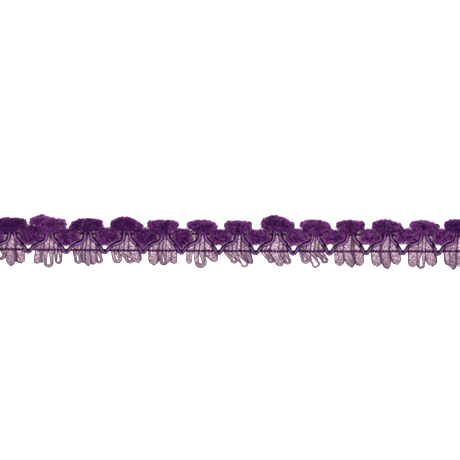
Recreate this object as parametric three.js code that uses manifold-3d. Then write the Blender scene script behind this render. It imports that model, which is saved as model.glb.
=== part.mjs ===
// A cut length of looped dress trim, lying face up: a chenille yarn in waves, a satin cord in a zigzag,
// and a sheer tape in fans and loops, held by two lines of stitching.
// Millimetres, +X along the trim, +Y towards the chenille edge, +Z up, standing on z = 0.

import * as THREE from "three";
import { mergeVertices } from "three/addons/utils/BufferGeometryUtils.js";
import Module from "manifold-3d";

const wasm = await Module();
wasm.setup();

// Driving dimensions
const LENGTH = 247;
const CLEARANCE = 0.3;

const TAPE_WIDTH = 2;
const TAPE_THICKNESS = 0.5;
const TAPE_ON_EDGE = 0.75;
const TURN_HEIGHT = 1.8;

const THREAD_DIAMETER = 0.5;
const CORD_DIAMETER = 1.9;
const CORD_SIDES = 6;
const NECK_RADIUS = 1.25;
const STRAND_TOP = 4.7;
const BEND_RADIUS = 1.2;
const BEND_FROM_ANGLE = 212;
const BEND_TO_ANGLE = 311;

const FAN_LEGS = 6;
const FAN_ROWS = 4;
const FAN_NECK = 4;
const FAN_LEFT = 7.9;
const FAN_RIGHT = 6.1;
const FAN_TOP = 6.5;
const FAN_HEM = 1;
const LOOP_ROOT = 0.7;
const FAN_GROOVE = 0.2;

const TUFT_STATIONS = 8;
const TUFT_CORNERS = 10;
const UPPER_TUFT_HEIGHT = 7.8;
const LOWER_TUFT_HEIGHT = 6.8;
const PRESSED = 0.15;
const TUFT_BLUNT_END = 0.97;
const TUFT_TOP_ROUNDNESS = 3.6;
const YARN_BED_EDGE = 7.5;

// Levels of the layers
const THREAD_LEVEL = TAPE_THICKNESS + CLEARANCE + THREAD_DIAMETER / 2;
const CORD_LOW = TAPE_THICKNESS + CLEARANCE + CORD_DIAMETER / 2;
const CORD_HIGH = THREAD_LEVEL + THREAD_DIAMETER / 2 + CLEARANCE + CORD_DIAMETER / 2;
const YARN_BED = THREAD_LEVEL + THREAD_DIAMETER / 2 + CLEARANCE;

// Names the columns of a table's rows.
function table(columns, rows) {
  return rows.map((row) => Object.fromEntries(columns.map((name, i) => [name, row[i]])));
}

// Where two strands of the cord meet under each upper tuft, with one neck past each cut end
const NECKS = [
  -129.5, -110.5, -91.8, -72.5, -53.1, -34.2, -15.3, 3.2, 21.9, 41.1, 58.6, 77.3, 95.4, 113, 131.5,
];

// The lowest point of the cord between two necks
const BENDS = table(
  ["x", "y"],
  [
    [-121, -5.1],
    [-102.2, -5.1],
    [-83.3, -5.3],
    [-64, -5.4],
    [-44.9, -5.4],
    [-25.8, -5.6],
    [-7.3, -5.9],
    [11.3, -5.9],
    [30.1, -6.1],
    [48.2, -6.1],
    [66.4, -5.9],
    [84.8, -5.9],
    [102.4, -6.1],
    [121, -6.1],
  ],
);

// The shape of one side of the zigzag, as shares of the way across and down from the neck to the bend
const DESCENT = table(
  ["across", "down"],
  [
    [0, 0],
    [0.08, 0.24],
    [0.24, 0.4],
    [0.5, 0.58],
    [0.73, 0.77],
  ],
);
const ASCENT = table(
  ["across", "down"],
  [
    [0.3, 0.7],
    [0.5, 0.57],
    [0.72, 0.46],
    [0.9, 0.3],
    [0.98, 0.14],
    [1, 0],
  ],
);

// The wide tufts of the yarn. The crest is the x of its highest edge, and the droop is how far the ends fall from it.
const UPPER_TUFTS = table(
  ["left", "right", "top", "bottom", "crest", "droop"],
  [
    [-118.6, -103.2, 12.4, 4.9, -112, 0.6],
    [-101.2, -83.5, 14.1, 4.1, -95.5, 2.2],
    [-80.5, -65.2, 11.7, 4.9, -72, 0.5],
    [-61, -45.5, 12.9, 5.1, -54.8, 2.4],
    [-42.5, -27.2, 10.9, 3.6, -34, 0.5],
    [-22.8, -8, 11.2, 3.9, -15, 0.5],
    [-4, 9, 10.9, 3.6, 3, 0.4],
    [14, 30.8, 13.4, 4.9, 21, 1.9],
    [33.5, 48, 11.2, 3.6, 37, 1],
    [51.8, 65.5, 10.9, 3.9, 58, 0.5],
    [69.5, 84.8, 11.2, 3.9, 74, 1],
    [88.2, 102.5, 10.9, 3.6, 92, 1],
    [105.8, 120.5, 11.4, 4.4, 110, 0.6],
  ],
);

// The round tufts between them. A low roundness gives a pointed lower edge, and a high one a flat edge.
const LOWER_TUFTS = table(
  ["left", "right", "top", "bottom", "roundness"],
  [
    [-126, -114.8, 7.9, -1.4, 2.2],
    [-106.4, -95.8, 7.9, -1.4, 1.7],
    [-87.5, -77.2, 6.9, -1.7, 1.8],
    [-68.2, -56.8, 7.6, -1.4, 2.8],
    [-49, -38, 7, -2.1, 1.9],
    [-30, -20.5, 6.9, -2.6, 1.8],
    [-11.2, -1, 6.6, -1.6, 2.2],
    [7, 18.2, 6.6, -1.4, 2.6],
    [26.5, 37.5, 6.6, -1.9, 2.2],
    [46, 56, 6.4, -1.1, 2.4],
    [63.5, 74, 6.6, -1.4, 2.2],
    [81.5, 92.5, 6.9, -1.1, 2.8],
    [100.5, 111, 6.9, -1.6, 2.2],
    [116.5, 127.5, 6.9, -1.6, 2.2],
  ],
);

// The loops of tape below the lower stitching: where each springs from the stitching, where its turn hangs,
// how wide it is there, and whether it stands open (1) or lies folded flat (0)
const LOOPS = table(
  ["rootLeft", "rootRight", "turn", "bottom", "width", "open"],
  [
    [-119.5, -114, -117, -9.1, 4.5, 1],
    [-113.8, -109.2, -110.5, -11.9, 3, 0],
    [-109, -104.5, -106.2, -10.6, 4, 0],
    [-99.8, -96.2, -98.1, -11.1, 3.2, 0],
    [-96.5, -94.8, -95.5, -10.6, 1.2, 0],
    [-95, -89.8, -92.3, -12.6, 4.8, 1],
    [-89.8, -85.8, -87.1, -10.9, 3.8, 1],
    [-80.2, -76.2, -77.2, -10.5, 3.2, 1],
    [-76.2, -72.2, -72.7, -11.9, 3.2, 0],
    [-72.5, -69.5, -70.2, -11.5, 2.5, 0],
    [-70, -66.5, -67, -10.7, 3.5, 1],
    [-61.2, -56.8, -57.4, -11, 3.5, 1],
    [-56.8, -51, -51.7, -10.8, 4.2, 1],
    [-50.8, -47.1, -47.5, -9.9, 3.6, 0],
    [-42, -37.5, -39, -11.5, 4, 0],
    [-37.5, -33.5, -34.2, -11.6, 3.5, 1],
    [-34, -31, -31.8, -10.4, 2.5, 0],
    [-31.2, -28, -29.2, -10.9, 2.8, 0],
    [-23.5, -20, -21.8, -11.1, 2.9, 0],
    [-20, -14, -15.3, -13.1, 4.5, 1],
    [-14.2, -9.6, -9.2, -9.9, 3.2, 0],
    [-4.8, 0.5, 0.7, -10.5, 4, 1],
    [0.8, 5, 5.4, -12.6, 4.2, 1],
    [5, 9.2, 8.9, -10.7, 3, 1],
    [14.5, 19, 19.2, -10.8, 3.2, 1],
    [19, 24, 24.4, -11.9, 2.8, 0],
    [24, 28, 27, -11.1, 3.8, 1],
    [33, 37, 35, -11.2, 3.5, 1],
    [37, 42, 41.2, -13.1, 4.2, 1],
    [42, 46.2, 45.3, -10.5, 4, 1],
    [50.5, 55.5, 53.8, -11.5, 4, 0],
    [55.2, 60, 59.7, -12.6, 2.8, 0],
    [59.8, 64.4, 63.2, -11.4, 3.9, 0],
    [69.4, 73.7, 71.8, -11.6, 4, 0],
    [73.5, 78.2, 76.3, -13.4, 3.8, 0],
    [78, 83, 81.5, -11.5, 4.3, 0],
    [87.5, 92.2, 89.9, -12.4, 4, 0],
    [92, 96.6, 94.1, -13.4, 3.9, 1],
    [96.5, 101.5, 100, -11.7, 4.5, 0],
    [105, 109, 107.2, -11.9, 4, 0],
    [108.8, 112.2, 110, -13.9, 3, 0],
    [112, 116.5, 114, -12.6, 4, 0],
    [116.2, 119.2, 118.5, -11.1, 3, 1],
  ],
);

const { degToRad, lerp, smoothstep } = THREE.MathUtils;
const UP = new THREE.Vector3(0, 0, 1);

// The two lines of stitching drift a little along the trim.
function lowerLine(x) {
  const s = (2 * x) / LENGTH;
  return -4.4 - 0.55 * s + 0.4 * s * s;
}

function upperLine(x) {
  return 4 - (1.2 * x) / LENGTH;
}

function floorPoint(x, y) {
  return new THREE.Vector3(x, y, 0);
}

function solid(positions, index) {
  return new wasm.Manifold(
    new wasm.Mesh({
      numProp: 3,
      vertProperties: new Float32Array(positions),
      triVerts: new Uint32Array(index),
    }),
  );
}

function box(x0, x1, y0, y1, z0, z1) {
  const geometry = new THREE.BoxGeometry(x1 - x0, y1 - y0, z1 - z0);
  geometry.translate((x0 + x1) / 2, (y0 + y1) / 2, (z0 + z1) / 2);
  geometry.deleteAttribute("normal");
  geometry.deleteAttribute("uv");
  const merged = mergeVertices(geometry);
  return solid(merged.attributes.position.array, merged.index.array);
}

// A closed body through rings of points with flat ends, each ring counter-clockwise seen from the path's far end.
function loft(rings) {
  const sides = rings[0].length;
  const last = (rings.length - 1) * sides;
  const index = [];
  for (let i = 0; i < last; i += sides) {
    for (let j = 0; j < sides; j++) {
      const a = i + j;
      const b = i + ((j + 1) % sides);
      index.push(a, b, a + sides, b, b + sides, a + sides);
    }
  }
  for (let j = 1; j + 1 < sides; j++) {
    index.push(0, j + 1, j, last, last + j, last + j + 1);
  }
  return solid(
    rings.flat().flatMap((point) => point.toArray()),
    index,
  );
}

// The level direction square to a path at each of its points
function sideways(path) {
  return path.map((point, i) => {
    const before = path[Math.max(i - 1, 0)];
    const after = path[Math.min(i + 1, path.length - 1)];
    return new THREE.Vector3().subVectors(after, before).setZ(0).cross(UP).negate().normalize();
  });
}

// A round body along a path
function tube(path, radius, sides) {
  const across = sideways(path);
  const corners = Array.from({ length: sides }, (_, j) => (2 * Math.PI * (j + 0.5)) / sides);
  return loft(
    path.map((point, i) =>
      corners.map((angle) =>
        point
          .clone()
          .addScaledVector(across[i], radius * Math.cos(angle))
          .addScaledVector(UP, radius * Math.sin(angle)),
      ),
    ),
  );
}

// A four-sided strip. Each station holds its point, its width and its height over that point.
function strip(stations) {
  const across = sideways(stations.map(({ point }) => point));
  return loft(
    stations.map(({ point, width, height }, i) => {
      const left = point.clone().addScaledVector(across[i], width / 2);
      const right = point.clone().addScaledVector(across[i], -width / 2);
      const raised = [left, right].map((low) => low.clone().addScaledVector(UP, height));
      return [right, left, raised[0], raised[1]];
    }),
  );
}

// Joins bodies in pairs, so that no long chain of joins builds up.
function join(bodies) {
  let left = bodies;
  while (left.length > 1) {
    left = left.flatMap((body, i) => (i % 2 ? [] : [i + 1 < left.length ? body.add(left[i + 1]) : body]));
  }
  return left[0];
}

// Cuts the running trim square at both ends.
function cutToLength(body) {
  return body.intersect(box(-LENGTH / 2, LENGTH / 2, -LENGTH, LENGTH, 0, LENGTH));
}

// The cord rises over each line of stitching, and lies lower on the tape between them.
function cordLevel(x, y) {
  const inside = Math.min(y - lowerLine(x), upperLine(x) - y);
  return lerp(CORD_HIGH, CORD_LOW, smoothstep(inside, 1.3, 3.2));
}

// The cord turns through an arc under each upper tuft and at each bend. Angles are in degrees from +X.
function arc(x, y, radius, from, to, steps) {
  return Array.from({ length: steps + 1 }, (_, i) => {
    const angle = degToRad(lerp(from, to, i / steps));
    return [x + radius * Math.cos(angle), y + radius * Math.sin(angle)];
  });
}

// The two sides of the zigzag at a bend, each as [x, y] places
function cordLegs(bend, i) {
  const from = NECKS[i] + NECK_RADIUS;
  const to = NECKS[i + 1] - NECK_RADIUS;
  const fall = STRAND_TOP - bend.y;
  return [
    DESCENT.map(({ across, down }) => [lerp(from, bend.x, across), STRAND_TOP - fall * down]),
    ASCENT.map(({ across, down }) => [lerp(bend.x, to, across), STRAND_TOP - fall * down]),
  ];
}

function cordPath() {
  const places = BENDS.flatMap((bend, i) => {
    const [descent, ascent] = cordLegs(bend, i);
    const foot = arc(bend.x, bend.y + BEND_RADIUS, BEND_RADIUS, BEND_FROM_ANGLE, BEND_TO_ANGLE, 3);
    const neck = arc(NECKS[i + 1], STRAND_TOP, NECK_RADIUS, 180, 0, 4).slice(1, -1);
    return [...descent, ...foot, ...ascent, ...neck];
  });
  return places.map(([x, y]) => new THREE.Vector3(x, y, cordLevel(x, y)));
}

function gimpCord() {
  return cutToLength(tube(cordPath(), CORD_DIAMETER / 2, CORD_SIDES));
}

// How far a rounded outline stands out at a share of the way from its middle to its end
function swell(share, roundness) {
  return (1 - Math.abs(TUFT_BLUNT_END * share) ** roundness) ** (1 / roundness);
}

function squared(value) {
  return Math.sign(value) * Math.abs(value) ** 0.85;
}

// A plush tuft, blunt at its two ends and flattened a little by its own weight.
// Its upper edge is nearly straight, and droops away from its crest.
function tuft({ left, right, top, bottom, crest = 0, droop = 0, roundness = 2.4 }, height) {
  const middle = (left + right) / 2;
  const half = (right - left) / 2;
  const rings = [];
  for (let i = 0; i < TUFT_STATIONS; i++) {
    const share = Math.sin((Math.PI / 2) * ((2 * i) / (TUFT_STATIONS - 1) - 1));
    const x = middle + half * share;
    const crown = swell(share, TUFT_TOP_ROUNDNESS);
    const belly = swell(share, roundness);
    const upperEdge = top - (droop / 2) * ((x - crest) / half) ** 2;
    const ring = [];
    for (let j = 0; j < TUFT_CORNERS; j++) {
      const angle = (2 * Math.PI * (j + 0.5)) / TUFT_CORNERS;
      const out = squared(Math.cos(angle));
      const y = lerp(bottom, upperEdge, 0.5 + 0.5 * (out > 0 ? crown : belly) * out);
      const z = (height / 2 + PRESSED) * (1 + crown * squared(Math.sin(angle))) - 2 * PRESSED;
      ring.push(new THREE.Vector3(x, y, z));
    }
    rings.push(ring);
  }
  return loft(rings);
}

// Room in the underside of the yarn for the two sides of the cord at each bend, and for its neck
function cordRoom() {
  const top = CORD_HIGH + CORD_DIAMETER / 2 + CLEARANCE;
  const width = CORD_DIAMETER + 3 * CLEARANCE;
  const reach = NECK_RADIUS + width / 2;
  const cut = (places) =>
    strip(places.map(([x, y]) => ({ point: new THREE.Vector3(x, y, -1), width, height: 1 + top })));
  return join(
    BENDS.flatMap((bend, i) => {
      const neck = NECKS[i + 1];
      const neckBox = box(neck - reach, neck + reach, STRAND_TOP - 1, STRAND_TOP + reach, -1, top);
      const foot = [bend.x, bend.y];
      const [descent, ascent] = cordLegs(bend, i);
      return [cut([...descent, foot]), cut([foot, ...ascent]), neckBox];
    }),
  );
}

function chenilleYarn() {
  const tufts = [
    ...UPPER_TUFTS.map((row) => tuft(row, UPPER_TUFT_HEIGHT)),
    ...LOWER_TUFTS.map((row) => tuft(row, LOWER_TUFT_HEIGHT)),
  ];
  const tapeBed = box(-LENGTH, LENGTH, -LENGTH, YARN_BED_EDGE, -1, YARN_BED);
  return cutToLength(join(tufts).subtract(tapeBed).subtract(cordRoom()));
}

// A fan of tape between the two lines of stitching, pleated into legs that spread from the neck
function fan(neck) {
  const top = FAN_TOP;
  const hem = lowerLine(neck) - FAN_HEM;
  const columns = 2 * FAN_LEGS;
  const rows = FAN_ROWS;
  const point = (row, column, z) => {
    const t = row / rows;
    const left = neck - lerp(FAN_NECK, FAN_LEFT, t * t);
    const right = neck + lerp(FAN_NECK, FAN_RIGHT, t * t);
    return [lerp(left, right, column / columns), lerp(top, hem, t), z];
  };
  const positions = [];
  for (let row = 0; row <= rows; row++) {
    for (let column = 0; column <= columns; column++) {
      const groove = column % 2 ? 0 : FAN_GROOVE;
      positions.push(...point(row, column, TAPE_THICKNESS - groove));
      positions.push(...point(row, column, 0));
    }
  }
  const at = (row, column, under) => 2 * (row * (columns + 1) + column) + under;
  const index = [];
  const face = (a, b, c, d) => index.push(a, b, c, a, c, d);
  for (let row = 0; row < rows; row++) {
    for (let column = 0; column < columns; column++) {
      face(at(row, column, 0), at(row + 1, column, 0), at(row + 1, column + 1, 0), at(row, column + 1, 0));
      face(at(row, column, 1), at(row, column + 1, 1), at(row + 1, column + 1, 1), at(row + 1, column, 1));
    }
    face(at(row, 0, 0), at(row, 0, 1), at(row + 1, 0, 1), at(row + 1, 0, 0));
    face(at(row, columns, 0), at(row + 1, columns, 0), at(row + 1, columns, 1), at(row, columns, 1));
  }
  for (let column = 0; column < columns; column++) {
    face(at(0, column, 0), at(0, column + 1, 0), at(0, column + 1, 1), at(0, column, 1));
    face(at(rows, column, 0), at(rows, column, 1), at(rows, column + 1, 1), at(rows, column + 1, 0));
  }
  return solid(positions, index);
}

// A loop that stands open: the tape leaves the stitching flat and turns on its edge at the bottom.
function openLoop({ rootLeft, rootRight, turn, bottom, width }) {
  const legWidth = Math.min(TAPE_WIDTH, (rootRight - rootLeft) / 2);
  const radius = (width - TAPE_ON_EDGE) / 2;
  const centre = bottom + width / 2;
  const start = lowerLine((rootLeft + rootRight) / 2) - LOOP_ROOT;
  const leg = (root, end) =>
    [0, 0.5].map((t) => ({
      point: floorPoint(lerp(root, end, t), lerp(start, centre, t)),
      width: lerp(legWidth, TAPE_ON_EDGE, t),
      height: lerp(TAPE_THICKNESS, TURN_HEIGHT, t),
    }));
  const steps = 4;
  const bend = Array.from({ length: steps + 1 }, (_, i) => {
    const angle = Math.PI * (1 + i / steps);
    return {
      point: floorPoint(turn + radius * Math.cos(angle), centre + radius * Math.sin(angle)),
      width: TAPE_ON_EDGE,
      height: TURN_HEIGHT,
    };
  });
  return strip([
    ...leg(rootLeft + legWidth / 2, turn - radius),
    ...bend,
    ...leg(rootRight - legWidth / 2, turn + radius).reverse(),
  ]);
}

// A loop folded flat on itself: one leaf of two layers with a round end
function foldedLoop({ rootLeft, rootRight, turn, bottom, width }) {
  const root = (rootLeft + rootRight) / 2;
  const start = lowerLine(root) - LOOP_ROOT;
  return strip(
    [
      [0, rootRight - rootLeft],
      [0.45, lerp(rootRight - rootLeft, width, 0.6)],
      [0.8, width],
      [0.94, 0.8 * width],
      [1, 0.4 * width],
    ].map(([down, wide]) => ({
      point: floorPoint(lerp(root, turn, Math.min(1, 1.1 * down)), lerp(start, bottom, down)),
      width: wide,
      height: lerp(TAPE_THICKNESS, 2 * TAPE_THICKNESS, down),
    })),
  );
}

// The tape passes from one fan to the next under the yarn.
function passingTape(from, to) {
  const y = FAN_TOP - TAPE_WIDTH / 2;
  return strip(
    [from, to].map((x) => ({
      point: floorPoint(x, y),
      width: TAPE_WIDTH,
      height: TAPE_THICKNESS - FAN_GROOVE / 2,
    })),
  );
}

function ribbonTape() {
  const fans = NECKS.slice(1, -1).map(fan);
  const tuck = 0.8 * FAN_NECK;
  const passes = NECKS.slice(1).map((x, i) => passingTape(NECKS[i] + tuck, x - tuck));
  const loops = LOOPS.map((row) => (row.open ? openLoop(row) : foldedLoop(row)));
  return cutToLength(join([...fans, ...passes, ...loops]));
}

// A stitched thread along one of the two lines
function stitchThread(line) {
  const stops = [...NECKS, ...BENDS.map(({ x }) => x)].sort((a, b) => a - b);
  const path = stops.map((x) => new THREE.Vector3(x, line(x), THREAD_LEVEL));
  return cutToLength(tube(path, THREAD_DIAMETER / 2, 4));
}

function named(name, body, color, roughness) {
  const mesh = body.getMesh();
  const geometry = new THREE.BufferGeometry();
  geometry.setAttribute("position", new THREE.BufferAttribute(mesh.vertProperties, 3));
  geometry.setIndex(new THREE.BufferAttribute(mesh.triVerts, 1));
  geometry.computeVertexNormals();
  const part = new THREE.Mesh(geometry, new THREE.MeshStandardMaterial({ color, roughness, metalness: 0 }));
  part.name = name;
  return part;
}

const group = new THREE.Group();
group.add(
  named("chenille_yarn", chenilleYarn(), 0x54236b, 0.95),
  named("gimp_cord", gimpCord(), 0x7a3a92, 0.45),
  named("ribbon_tape", ribbonTape(), 0xb893b8, 0.6),
  named("lower_stitch_thread", stitchThread(lowerLine), 0x4a1658, 0.7),
  named("upper_stitch_thread", stitchThread(upperLine), 0x4a1658, 0.7),
);

export default group;
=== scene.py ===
import math

import bpy
import numpy as np
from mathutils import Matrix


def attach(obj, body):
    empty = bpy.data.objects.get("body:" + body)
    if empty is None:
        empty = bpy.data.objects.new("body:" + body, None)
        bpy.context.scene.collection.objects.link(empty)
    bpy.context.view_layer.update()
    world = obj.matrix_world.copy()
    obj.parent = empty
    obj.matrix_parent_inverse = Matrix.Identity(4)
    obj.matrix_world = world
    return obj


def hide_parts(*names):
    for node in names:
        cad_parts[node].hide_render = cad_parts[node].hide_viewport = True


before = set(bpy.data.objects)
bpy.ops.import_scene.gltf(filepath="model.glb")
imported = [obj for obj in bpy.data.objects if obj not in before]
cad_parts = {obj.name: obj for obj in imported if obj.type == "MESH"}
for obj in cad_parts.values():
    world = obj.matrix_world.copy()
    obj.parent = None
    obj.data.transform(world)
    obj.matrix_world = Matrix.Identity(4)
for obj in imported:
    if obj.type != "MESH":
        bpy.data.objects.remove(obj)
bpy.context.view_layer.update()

MM = 0.001
LENGTH = 247.0
END = LENGTH / 2

# The photograph shows this stretch of the trim, with its centre here.
VIEW_WIDTH = 230.0
VIEW_CENTRE = (-1.5, 5.875)
CAMERA_HEIGHT = 3000.0
SENSOR = 36.0

# The floor reaches this far from the trim's middle, in metres.
FLOOR_REACH = 6.0

# Cord
CORD_RADIUS = 1.03
CORD_SIDES = 12
CORD_STEP = 0.14
CORD_SMOOTHING = 5
CURVE_STEPS = 8
NECK_STEPS = 4
BEND_STEPS = 3
WRAP_PITCH = 0.42
WRAP_DEPTH = 0.035
NECK_RADIUS = 1.25
STRAND_TOP = 4.7
BEND_RADIUS = 1.2
BEND_ANGLES = (212, 311)
CORD_LOW = 1.75
CORD_HIGH = 2.55
CORD_RAMP = (1.3, 3.2)
CORD_ROOM = 3.9
CORD_ROOM_EDGE = 0.35
CORD_GAP = 0.03
CORD_SEARCH = 22.0
CORD_SKIP = 4
BEND_SHADE = 0.45
BEND_SHADE_WIDTH = (0.8, 2.2)
BEND_SHADE_DEPTH = (3.5, 5.5)

# Stitching
UPPER_LINE = 4
UPPER_LINE_FALL = 1.2
LOWER_LINE = -4.4
LOWER_LINE_FALL = 0.55
LOWER_LINE_BOW = 0.4
THREAD_LEVEL = 1.05
STITCH_LENGTH = 1.75
STITCH_STEP = 0.25
STRAND_RADIUS = 0.32
STRAND_SWELL = 0.15
STRAND_SPREAD = 0.28
STRAND_LIFT = 0.1
STITCH_SHIFT = -0.25
STRAND_SIDES = 6
TIE_SIDES = 8
TIE_POINTS = 11
TIE_REACH = 0.95
TIE_RADIUS = 0.55
TIE_RISE = 1.3
TIE_LEVEL = 2.7

# Tape
TAPE_WIDTH = 2.1
TAPE_THICKNESS = 0.12
FLOOR_GAP = 0.02
TAPE_COLUMNS = 5
BORDER_WIDTH = 0.56
BORDER_BLUR = 0.18
NO_BORDER = 1.0
CRINKLE = 0.04
CRINKLE_ALONG = 1.9
CRINKLE_ACROSS = 2.2
CRINKLE_START = 9
LOOP_GAP = 0.08
UNDER_LEVEL = 0.08
PASSING_LEVEL = 0.12
LAYER_GAP = 0.2
LEG_LEVEL = 0.2
LEG_GAP = 0.42
WEAVE_CHECKS = 4
UNDER_LEGS = 6
UNDER_LEG_POINTS = 14
LEG_POINTS = 9
LEG_LEAN = 0.12
TURN_STEPS = 6
LOOP_STEPS = 3
TURN_PLACES = (0.35, 0.7)
TURN_SIDES = [0.4, 0.8]
LEAF_POINTS = 10
FAN_NECK = 5.2
FAN_LEFT = 7.9
FAN_RIGHT = 6.1
FAN_TOP = 6.5
FAN_WIDTHS = (0.8, 1.03)
LOOP_ROOT = 0.7
PASSING_MIDDLE = 4.5
PASSING_SWAY = 0.15
PASSING_POINTS = 24
LAYER_SLIP = 0.55
LAYER_SHIFT = 0.1
FOLD_REACH = 0.12
FOLD_WIDTH = 0.9
LEAF_START = 0.12
LEAF_SWELL = 0.6
LEAF_TILT = 0.05
LEAF_BLUNT = 0.97
LEAF_NARROWEST = 0.3
LOOSE_SHADE = 0.58
UNDER_SHADES = (0.15, 0.25)
PASSING_SHADE = 0.2

# A fan takes the loops whose middle is this far from its neck.
FAN_REACH = (-9.5, 8.5)

# Chenille
UPPER_HEIGHT = 7.8
LOWER_HEIGHT = 6.8
PRESSED = 0.15
BLUNT_END = 0.985
BELLY_ROUNDNESS = 4.0
LOWER_ROUNDNESS = 3.6
LOWER_SLOPE = 0.35
LOWER_SLOPE_EDGES = (2.0, 7.0)
SQUARED = 0.85
END_BULGE = 0.5
TUFT_RINGS = 42
TUFT_CORNERS = 40
TUFT_END_RINGS = (0.0, 0.3, 0.6, 0.85)
FULLER = 1.2
YARN_BED = 1.8
YARN_BED_EDGE = 7.5
CORE_GAP = 0.03
UPPER_FIBRES = 7600
LOWER_FIBRES = 4900
PILE_DEPTH = 1.5
PILE_ROOT = 0.25
PILE_WIDTH = 0.27
PILE_GAP = 0.01
PILE_PAST_END = 0.4
UNDERSIDE = 1.0
UNDERSIDE_SHARE = 0.25
WANDER_WIDTH = 2.6
WANDER_WAVES = 7
WANDER_RANGE = (0.7, 1.5)
LEAN_DRIFT = 0.3
LEAN_SCATTER = 0.24
LENGTH_DRIFT = 0.2
LENGTH_SCATTER = 0.15
CLUMP_AREA = 0.62
CLUMP_PULL = 0.66
CLUMP_REACH = (0.8, 1.3)
BUMP_WIDTH = 2.1
BUMP_HEIGHT = 0.42

# How light the pile is painted, where 0 is the painted shade at its roots and 1 the painted sheen at its
# tips, and what is added to it
# The core under the pile is painted dark, as painted shade deep in the pile.
CORE_PAINTED_SHADE = 0.1
TONE = -0.065
TIP_TONE = 0.95
CLUMP_TONE = 0.16
FIBRE_TONE = 0.08
TONE_DRIFT = 0.1
# The flanks get a painted sheen. The upper tufts' downward flanks, and the lower tufts near the upper ones,
# get painted shade.
RIM_PAINTED_SHEEN = 0.42
RIM_SHEEN_FACING = (-0.9, 0.5)
UPPER_PAINTED_SHADE = 0.18
UPPER_SHADE_FACING = (0, 0.8)
LOWER_PAINTED_SHADE = 0.03
LOWER_SHADE_EDGES = (3.5, 6.5)

# Where two strands of the cord meet under each upper tuft, with one neck past each cut end
NECKS = [
    -129.5, -110.5, -91.8, -72.5, -53.1, -34.2, -15.3, 3.2, 21.9, 41.1, 58.6, 77.3, 95.4, 113, 131.5,
]

# The lowest point of the cord between two necks, as x and y
BENDS = [
    (-121, -5.1),
    (-102.2, -5.1),
    (-83.3, -5.3),
    (-64, -5.4),
    (-44.9, -5.4),
    (-25.8, -5.6),
    (-7.3, -5.9),
    (11.3, -5.9),
    (30.1, -6.1),
    (48.2, -6.1),
    (66.4, -5.9),
    (84.8, -5.9),
    (102.4, -6.1),
    (121, -6.1),
]

# The two sides of the zigzag, as shares of the way across and down from the neck to the bend
DESCENT = [(0, 0), (0.08, 0.24), (0.24, 0.4), (0.5, 0.58), (0.73, 0.77)]
ASCENT = [(0.28, 0.7), (0.5, 0.58), (0.72, 0.51), (0.88, 0.42), (0.98, 0.25), (1, 0)]


def table(columns, rows):
    """Names the columns of a table's rows."""
    return [dict(zip(columns.split(), row)) for row in rows]


# The wide tufts of the yarn: the two ends of each, the y of its upper edge at five places between them and
# of its lower edge at three, how square its two ends are, and how much lighter than the rest its pile is
UPPER_TUFTS = table(
    "left right top_1 top_2 top_3 top_4 top_5 bottom_1 bottom_2 bottom_3 left_end right_end shade",
    [
        (-118.6, -103.2, 12.1, 12.4, 12.4, 12.3, 12.0, 5.6, 4.9, 5.6, 8, 5, -0.1),
        (-101.3, -83.4, 12.9, 14.1, 13.1, 12.2, 11.9, 7.9, 4.1, 5.1, 4, 6, 0.1),
        (-81, -65.2, 11.0, 11.8, 12.0, 11.9, 11.5, 5.7, 4.9, 5.6, 3.2, 9, -0.1),
        (-61, -45.2, 11.8, 12.7, 12.7, 12.1, 10.8, 5.4, 5.2, 4.6, 3.6, 2.8, -0.1),
        (-42.6, -27.3, 10.9, 11.2, 11.3, 11.1, 10.8, 6.1, 2.9, 5.6, 6, 6, 0),
        (-22.7, -8, 10.6, 11.2, 11.2, 11.1, 10.4, 5.9, 3.6, 4.9, 6, 3.6, 0),
        (-4, 9, 10.7, 10.9, 10.9, 10.8, 10.4, 5.1, 3.4, 5.1, 5, 9, 0.05),
        (14, 30.8, 12.9, 13.5, 13.3, 12.4, 11.2, 5.6, 5.1, 4.9, 3.2, 3, 0),
        (33.6, 48.2, 10.8, 11.3, 11.3, 11.0, 10.4, 6.1, 3.1, 4.4, 5, 5, 0.05),
        (51.7, 65.5, 10.7, 11.0, 11.0, 11.0, 10.7, 5.9, 3.4, 5.1, 5, 9, 0),
        (69.5, 84.7, 10.9, 11.4, 11.3, 10.8, 9.9, 5.6, 3.4, 5.1, 3.6, 2.8, 0),
        (88.4, 103, 10.7, 11.0, 10.9, 10.7, 10.2, 5.9, 2.9, 5.4, 3.6, 2.2, 0.05),
        (105.8, 120.5, 10.9, 11.5, 11.6, 11.4, 10.9, 5.4, 3.9, 4.9, 6, 6, -0.1),
    ],
)
TOP_PLACES = (-0.76, -0.4, 0.0, 0.4, 0.76)
BOTTOM_PLACES = (-0.76, 0.0, 0.76)

# The round tufts between them, in the same way. A low roundness gives a pointed lower edge, and a high one
# a flat edge.
# Their shade column lightens the tufts towards the right, as painted light.
LOWER_TUFTS = table(
    "left right top bottom roundness shade",
    [
        (-126, -114.8, 7.9, -1.9, 2.2, 0),
        (-106.4, -94.6, 8.7, -1.9, 1.7, 0),
        (-87.5, -77.2, 6.9, -2.2, 1.8, 0),
        (-68.2, -56.8, 7.6, -2, 2.8, 0.05),
        (-49, -38, 7, -3.8, 1.9, 0),
        (-30, -20.5, 6.9, -4, 1.8, 0),
        (-11.2, -1, 6.6, -2.1, 2.2, 0),
        (7, 18.2, 6.6, -1.9, 2.6, 0),
        (26.5, 37.5, 6.6, -2.4, 2.2, 0.1),
        (45, 56, 6.4, -1.6, 2.6, 0.05),
        (63.5, 74, 6.6, -1.9, 2.2, 0.1),
        (81.5, 92.5, 6.9, -1.6, 2.8, 0.1),
        (99.9, 111, 6.9, -2.1, 2.4, 0.1),
        (116.5, 127.5, 6.9, -2.1, 2.2, 0.1),
    ],
)

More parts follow.
